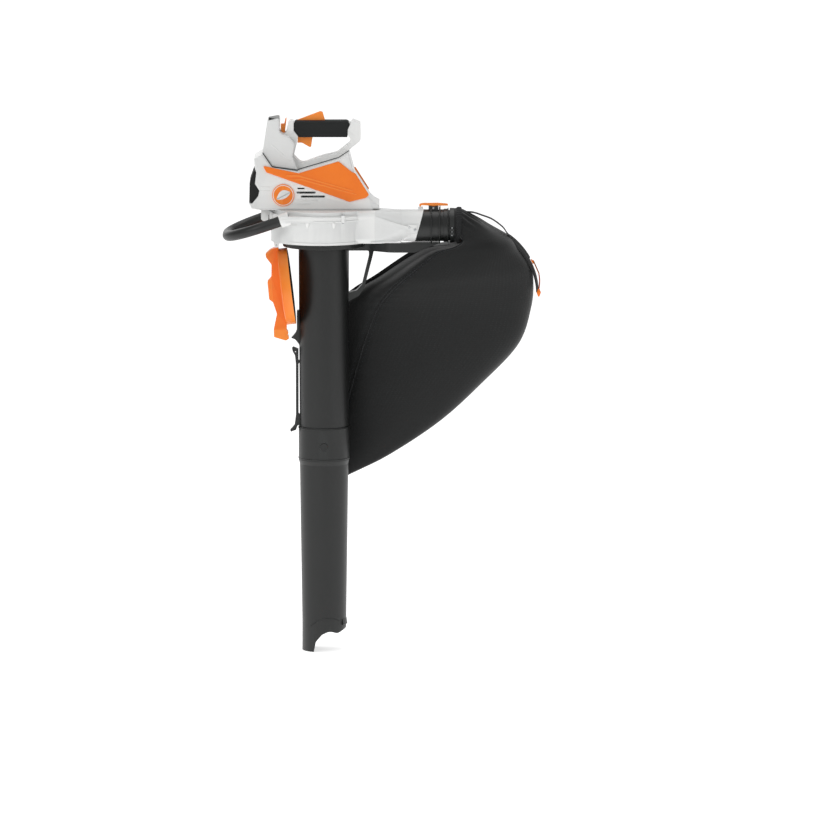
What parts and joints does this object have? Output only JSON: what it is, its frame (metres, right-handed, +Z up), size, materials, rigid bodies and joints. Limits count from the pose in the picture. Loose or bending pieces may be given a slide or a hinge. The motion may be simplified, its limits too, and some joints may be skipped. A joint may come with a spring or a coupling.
{
  "type": "leaf vacuum mulcher",
  "caption": "Hand-held leaf vacuum with a long suction tube, shredding fan, front loop handle, rear grip and a fabric catcher bag on a side outlet.",
  "frame": {"origin": "on the suction tube axis at the lower end of its full round bore, above the slanted scoop", "axes": "+Z up along the suction tube to the fan, +X towards the bag outlet, -Y the side that the discharge pipe is offset to"},
  "size_m": [0.7209, 0.2816, 1.2312],
  "materials": {
    "light_grey_abs": "fine moulded grain",
    "seal_foam": "cellular foam",
    "cast_aluminium": "die cast",
    "lamination": "stacked laminations",
    "steel": "machined",
    "orange_pa": "smooth moulded",
    "grip_rubber": "soft moulded",
    "circuit_board": "solder mask",
    "black_pp": "smooth moulded, soft sheen",
    "spring_steel": "drawn wire",
    "magnet_steel": "ground",
    "black_fabric": "woven polyester",
    "webbing": "woven webbing",
    "orange_cord": "braided cord"
  },
  "bodies": {
    "casing": {"fan_housing_lower": "light_grey_abs", "fan_housing_upper": "light_grey_abs", "discharge_duct": "light_grey_abs", "inlet_seal": "seal_foam", "motor_frame": "cast_aluminium", "motor_stator": "lamination", "bearing_lower": "steel", "bearing_upper": "steel", "motor_housing_left": "light_grey_abs", "motor_housing_right": "light_grey_abs", "side_panel_left": "orange_pa", "side_panel_right": "orange_pa", "badge_left": "orange_pa", "badge_right": "orange_pa", "front_bumper": "grip_rubber", "control_board": "circuit_board", "battery_tray": "black_pp", "contact_block": "black_pp", "handle_shell_left": "light_grey_abs", "handle_shell_right": "light_grey_abs", "handle_seal": "seal_foam", "grip_sleeve": "grip_rubber", "lever_pins": "steel", "trigger_switch": "black_pp", "trigger_spring": "spring_steel", "lockout_spring": "spring_steel", "loop_handle": "black_pp", "cover_hinge_pin": "steel", "upper_tube": "black_pp", "strap_cleat": "black_pp", "bag_carrier_arm": "black_pp", "housing_screws": "steel", "fan_housing_screws": "steel"},
    "rotor": {"rotor_shaft": "steel", "rotor_core": "magnet_steel", "impeller": "black_pp", "shredder_blade": "steel", "impeller_nut": "steel"},
    "trigger": {"trigger": "orange_pa"},
    "lockout": {"lockout_lever": "orange_pa"},
    "battery_latch": {"battery_lever": "orange_pa"},
    "cover": {"intake_cover": "orange_pa"},
    "nozzle": {"lower_tube": "black_pp"},
    "button": {"lock_button": "black_pp"},
    "bag_unit": {"connector_sleeve": "black_pp", "latch_pin": "steel", "latch_spring": "spring_steel", "bag_clamp_ring": "black_pp", "clamp_screw": "steel", "bag": "black_fabric", "carry_strap": "webbing"},
    "latch": {"latch_lever": "orange_pa"},
    "zip": {"zip_slider": "orange_pa"},
    "zip_pull": {"zip_tab": "black_pp", "zip_cord": "orange_cord", "zip_end": "orange_pa"}
  },
  "joints": [
    {"name": "rotor_spin", "type": "hinge", "parent": "casing", "child": "rotor", "pos_m": [0, 0, 0.95], "axis": [0, 0, 1], "continuous": true},
    {"name": "trigger_pull", "type": "hinge", "parent": "casing", "child": "trigger", "pos_m": [-0.053, 0, 1.119], "axis": [0, -1, 0], "range_deg": [0, 8], "stiffness_Nm_per_rad": 0.4, "springref_deg": -14.32, "deforming": ["trigger_spring"]},
    {"name": "lockout_press", "type": "hinge", "parent": "casing", "child": "lockout", "pos_m": [-0.055, 0, 1.139], "axis": [0, 1, 0], "range_deg": [0, 11], "stiffness_Nm_per_rad": 0.4, "springref_deg": -14.32, "deforming": ["lockout_spring"]},
    {"name": "battery_lever_press", "type": "hinge", "parent": "casing", "child": "battery_latch", "pos_m": [-0.091, 0, 1.112], "axis": [0, 1, 0], "range_deg": [0, 5], "stiffness_Nm_per_rad": 0.4, "springref_deg": -11.46},
    {"name": "cover_swing", "type": "hinge", "parent": "casing", "child": "cover", "pos_m": [-0.107, 0, 0.866], "axis": [0, 1, 0], "range_deg": [0, 55]},
    {"name": "nozzle_release", "type": "slide", "parent": "casing", "child": "nozzle", "axis": [0, 0, -1], "range_m": [0, 0.075]},
    {"name": "button_press", "type": "slide", "parent": "nozzle", "child": "button", "axis": [0, 1, 0], "range_m": [0, 0.0025], "stiffness_N_per_m": 400, "springref_m": -0.002},
    {"name": "bag_slide", "type": "slide", "parent": "casing", "child": "bag_unit", "axis": [1, 0, 0], "range_m": [0, 0.09]},
    {"name": "latch_press", "type": "hinge", "parent": "bag_unit", "child": "latch", "pos_m": [0.248, -0.045, 0.953], "axis": [0, 1, 0], "range_deg": [0, 7], "stiffness_Nm_per_rad": 0.4, "springref_deg": -11.46, "deforming": ["latch_spring"]},
    {"name": "zip_travel", "type": "hinge", "parent": "bag_unit", "child": "zip", "pos_m": [0.3233, -0.003, 0.754], "axis": [0, 0.9806, 0.1961], "range_deg": [0, 34]},
    {"name": "zip_pull_swing", "type": "hinge", "parent": "zip", "child": "zip_pull", "pos_m": [0.475, -0.0174, 0.8279], "axis": [0, -1, 0], "range_deg": [-3, 60]}
  ]
}
